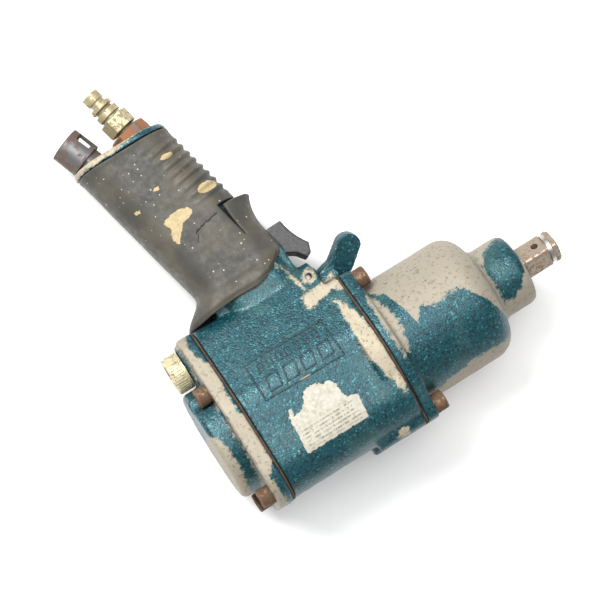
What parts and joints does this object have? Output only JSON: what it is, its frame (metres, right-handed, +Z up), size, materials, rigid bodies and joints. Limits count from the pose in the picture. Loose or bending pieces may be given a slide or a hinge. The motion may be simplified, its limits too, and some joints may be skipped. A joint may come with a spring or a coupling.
{
  "type": "impact wrench",
  "caption": "Pistol-grip pneumatic impact wrench with a square drive, hammer mechanism, rubber grip, trigger, reverse lever, regulator knob, air plug and exhaust tube.",
  "frame": {"origin": "middle of the base of the bounding box, on the bench that the tool lies on", "axes": "+X forward along the output spindle, +Z up from the bench (the tool lies on its right side), +Y towards the end of the handle"},
  "size_m": [0.1994, 0.23, 0.0754],
  "materials": {
    "housing_paint": "hammertone enamel, chipped and worn",
    "case_paint": "hammertone enamel worn to bare casting",
    "cover_paint": "hammertone enamel worn to bare casting",
    "gasket_fibre": "oil-soaked gasket sheet",
    "bolt_steel": "rusty cap screws",
    "cast_iron": "machined",
    "machined_steel": "machined",
    "hammer_steel": "hardened",
    "phenolic": "laminated",
    "anvil_steel": "worn and stained",
    "bronze": "sintered bush",
    "brass_knob": "knurled, dulled",
    "plug_metal": "plated and worn",
    "rusty_steel": "rusted",
    "exhaust_steel": "oxidised",
    "grip_rubber": "aged, torn and dusty",
    "seal_rubber": "oil seal",
    "trigger_plastic": "worn black",
    "valve_aluminium": "turned",
    "label_film": "scuffed film"
  },
  "bodies": {
    "casing": {"motor_housing": "housing_paint", "hammer_case": "case_paint", "rear_cover": "cover_paint", "front_gasket": "gasket_fibre", "rear_gasket": "gasket_fibre", "hammer_case_bolts": "bolt_steel", "rear_cover_screws": "bolt_steel", "cylinder_liner": "cast_iron", "front_end_plate": "machined_steel", "rear_end_plate": "machined_steel", "front_bearing_outer": "machined_steel", "rear_bearing_outer": "machined_steel", "anvil_bushing": "bronze", "oil_seal": "seal_rubber", "grip_sleeve": "grip_rubber", "air_inlet_bushing": "rusty_steel", "inlet_strainer": "machined_steel", "coupler_plug": "plug_metal", "trigger_bushing": "bronze", "valve_seat": "seal_rubber", "valve_spring": "machined_steel", "reverse_bushing": "bronze", "valve_retaining_pin": "machined_steel", "detent_ball": "machined_steel", "detent_spring": "machined_steel", "name_label": "label_film"},
    "rotor_group": {"rotor": "machined_steel", "rotor_vanes": "phenolic", "front_bearing_inner": "machined_steel", "front_bearing_balls": "machined_steel", "rear_bearing_inner": "machined_steel", "rear_bearing_balls": "machined_steel", "hammer_cage": "hammer_steel", "hammer_pins": "machined_steel"},
    "front_hammer_body": {"front_hammer": "hammer_steel"},
    "rear_hammer_body": {"rear_hammer": "hammer_steel"},
    "anvil_group": {"anvil": "anvil_steel", "socket_retaining_ring": "machined_steel"},
    "trigger_body": {"trigger": "trigger_plastic"},
    "throttle_body": {"throttle_valve": "valve_aluminium"},
    "reverse_group": {"reverse_valve": "machined_steel", "reverse_lever": "housing_paint", "lever_screw": "bolt_steel"},
    "regulator_group": {"regulator_spindle": "machined_steel", "regulator_knob": "brass_knob", "knob_screw": "bolt_steel"},
    "exhaust_body": {"exhaust_tube": "exhaust_steel"}
  },
  "joints": [
    {"name": "rotor_spin", "type": "hinge", "parent": "casing", "child": "rotor_group", "pos_m": [-0.04525, -0.07105, 0.0375], "axis": [1, 0, 0], "continuous": true},
    {"name": "front_hammer_swing", "type": "hinge", "parent": "rotor_group", "child": "front_hammer_body", "pos_m": [0.02975, -0.04919, 0.035], "axis": [1, 0, 0], "range_deg": [-5, 5]},
    {"name": "rear_hammer_swing", "type": "hinge", "parent": "rotor_group", "child": "rear_hammer_body", "pos_m": [0.01225, -0.0929, 0.04], "axis": [1, 0, 0], "range_deg": [-5, 5]},
    {"name": "anvil_spin", "type": "hinge", "parent": "casing", "child": "anvil_group", "pos_m": [0.06175, -0.07105, 0.0375], "axis": [1, 0, 0], "continuous": true},
    {"name": "trigger_pull", "type": "slide", "parent": "casing", "child": "trigger_body", "axis": [-0.9751, -0.2201, 0.0252], "range_m": [0, 0.0048], "stiffness_N_per_m": 2000, "springref_m": -0.003},
    {"name": "throttle_slide", "type": "slide", "parent": "casing", "child": "throttle_body", "axis": [-0.9751, -0.2201, 0.0252], "range_m": [0, 0.0048]},
    {"name": "reverse_turn", "type": "hinge", "parent": "casing", "child": "reverse_group", "pos_m": [-0.02425, -0.02684, 0.03244], "axis": [1, 0, 0], "range_deg": [-50, 0]},
    {"name": "regulator_turn", "type": "hinge", "parent": "casing", "child": "regulator_group", "pos_m": [-0.09425, -0.02684, 0.03244], "axis": [1, 0, 0], "range_deg": [-135, 135]},
    {"name": "exhaust_swivel", "type": "hinge", "parent": "casing", "child": "exhaust_body", "pos_m": [-0.0774, 0.0876, 0.01934], "axis": [-0.3502, 0.9306, -0.1065], "continuous": true}
  ],
  "couplings": [
    {"joint": "throttle_slide", "follows": "trigger_pull", "ratio": 1}
  ]
}
